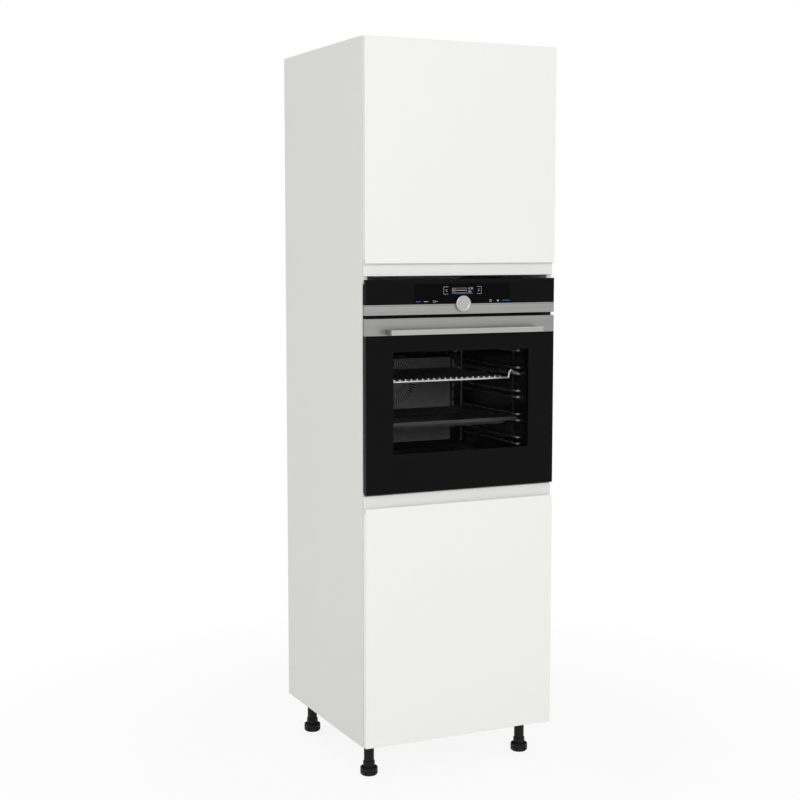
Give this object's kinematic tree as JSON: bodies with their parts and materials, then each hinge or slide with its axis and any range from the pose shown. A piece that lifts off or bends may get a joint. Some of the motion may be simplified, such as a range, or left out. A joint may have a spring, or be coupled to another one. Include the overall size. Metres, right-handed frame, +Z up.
{
  "type": "tall kitchen cabinet with built-in oven",
  "caption": "Tall fitted kitchen unit: doors with grip grooves above and below a built-in oven, standing on adjustable black legs.",
  "frame": {"origin": "middle of the base of the whole object's box, on the floor", "axes": "+Z up, +X to the viewer's right, -Y towards the viewer of the front"},
  "size_m": [0.6, 0.6414, 2.07],
  "materials": {
    "carcass": "light grey melamine-faced chipboard, fine satin grain",
    "back_sheet": "thin white-lacquered fibreboard",
    "upper_front": "white lacquered board, silk gloss",
    "lower_front": "white lacquered board, high gloss",
    "fittings": "zinc-plated steel",
    "hinge_steel": "nickel-plated steel",
    "leg_plastic": "matt black moulded plastic",
    "bumper": "soft clear bumper",
    "galvanised": "galvanised sheet steel",
    "enamel": "dark glass enamel with fine flecks",
    "fan_steel": "plain steel",
    "heater": "oxidised heating rod",
    "rack_chrome": "chromed wire",
    "lens": "ribbed lamp glass",
    "seal": "dark woven seal",
    "door_pan": "black-painted sheet steel",
    "black_glass": "black glass with a clear tinted window",
    "panel_glass": "black glass with small light symbols",
    "inner_glass": "clear tinted glass",
    "front_steel": "brushed stainless steel",
    "knob_steel": "turned steel",
    "pins": "ground steel pin",
    "electronics": "black moulded plastic"
  },
  "bodies": {
    "cabinet": {"side_panel_left": "carcass", "side_panel_right": "carcass", "top_panel": "carcass", "bottom_panel": "carcass", "niche_floor": "carcass", "niche_ceiling": "carcass", "upper_shelf": "carcass", "lower_shelf": "carcass", "back_rail": "carcass", "back_panel_upper": "back_sheet", "back_panel_lower": "back_sheet", "shelf_pins": "fittings", "cam_fittings": "fittings", "wall_brackets": "fittings", "wood_screws": "fittings", "hinge_plates": "fittings", "hinge_arms": "hinge_steel", "leg_sockets": "leg_plastic", "leg_posts": "leg_plastic", "door_bumpers": "bumper", "oven_casing": "galvanised", "oven_base": "galvanised", "oven_rear_cover": "galvanised", "front_frame": "galvanised", "oven_hinge_tongues": "galvanised", "oven_cavity": "enamel", "fan_cover": "enamel", "fan_motor": "fan_steel", "heating_elements": "heater", "side_rack_left": "rack_chrome", "side_rack_right": "rack_chrome", "lamp_lens": "lens", "door_seal": "seal", "panel_housing": "door_pan", "panel_fascia": "panel_glass", "panel_trim": "front_steel", "terminal_box": "electronics", "display_module": "electronics", "knob_encoder": "electronics"},
    "foot_front_left": {"foot_front_left": "leg_plastic"},
    "foot_front_right": {"foot_front_right": "leg_plastic"},
    "foot_back_left": {"foot_back_left": "leg_plastic"},
    "foot_back_right": {"foot_back_right": "leg_plastic"},
    "upper_link_set": {"upper_hinge_links": "hinge_steel"},
    "lower_link_set": {"lower_hinge_links": "hinge_steel"},
    "upper_door_set": {"upper_door": "upper_front", "upper_hinge_cups": "hinge_steel"},
    "lower_door_set": {"lower_door": "lower_front", "lower_hinge_cups": "hinge_steel"},
    "oven_door_set": {"oven_door_frame": "door_pan", "oven_door_glass": "black_glass", "oven_door_trim": "front_steel", "oven_inner_glass": "inner_glass", "oven_door_hinges": "pins", "door_handle": "front_steel"},
    "shelf_set": {"wire_shelf": "rack_chrome", "shelf_runners": "rack_chrome"},
    "tray_set": {"baking_tray": "enamel"},
    "knob_set": {"control_knob": "knob_steel"},
    "fan_set": {"fan_wheel": "fan_steel"}
  },
  "joints": [
    {"name": "foot_front_left_screw", "type": "slide", "parent": "cabinet", "child": "foot_front_left", "axis": [0, 0, -1], "range_m": [0, 0.05]},
    {"name": "foot_front_right_screw", "type": "slide", "parent": "cabinet", "child": "foot_front_right", "axis": [0, 0, -1], "range_m": [0, 0.05]},
    {"name": "foot_back_left_screw", "type": "slide", "parent": "cabinet", "child": "foot_back_left", "axis": [0, 0, -1], "range_m": [0, 0.05]},
    {"name": "foot_back_right_screw", "type": "slide", "parent": "cabinet", "child": "foot_back_right", "axis": [0, 0, -1], "range_m": [0, 0.05]},
    {"name": "upper_link_hinge", "type": "hinge", "parent": "cabinet", "child": "upper_link_set", "pos_m": [0.2717, -0.24815, 1.747], "axis": [0, 0, 1], "range_deg": [-25.95, 0]},
    {"name": "upper_door_hinge", "type": "hinge", "parent": "upper_link_set", "child": "upper_door_set", "pos_m": [0.2908, -0.26785, 1.747], "axis": [0, 0, 1], "range_deg": [0, 120.65]},
    {"name": "lower_link_hinge", "type": "hinge", "parent": "cabinet", "child": "lower_link_set", "pos_m": [0.2717, -0.24815, 0.4595], "axis": [0, 0, 1], "range_deg": [-25.95, 0]},
    {"name": "lower_door_hinge", "type": "hinge", "parent": "lower_link_set", "child": "lower_door_set", "pos_m": [0.2908, -0.26785, 0.4595], "axis": [0, 0, 1], "range_deg": [0, 120.65]},
    {"name": "oven_door_hinge", "type": "hinge", "parent": "cabinet", "child": "oven_door_set", "pos_m": [0, -0.27075, 0.8295], "axis": [1, 0, 0], "range_deg": [0, 90], "stiffness_Nm_per_rad": 12, "springref_deg": -17.19},
    {"name": "shelf_slide", "type": "slide", "parent": "cabinet", "child": "shelf_set", "axis": [0, -1, 0], "range_m": [0, 0.22]},
    {"name": "tray_slide", "type": "slide", "parent": "cabinet", "child": "tray_set", "axis": [0, -1, 0], "range_m": [0, 0.18]},
    {"name": "knob_turn", "type": "hinge", "parent": "cabinet", "child": "knob_set", "pos_m": [0, -0.28925, 1.3465], "axis": [0, -1, 0], "continuous": true},
    {"name": "fan_turn", "type": "hinge", "parent": "cabinet", "child": "fan_set", "pos_m": [0, 0.17075, 1.0862], "axis": [0, 1, 0], "continuous": true}
  ],
  "couplings": [
    {"joint": "upper_link_hinge", "follows": "upper_door_hinge", "ratio": -0.2126},
    {"joint": "lower_link_hinge", "follows": "lower_door_hinge", "ratio": -0.2126},
    {"joint": "shelf_slide", "follows": "oven_door_hinge", "m_per_rad": 0.14},
    {"joint": "tray_slide", "follows": "oven_door_hinge", "m_per_rad": 0.1145}
  ]
}
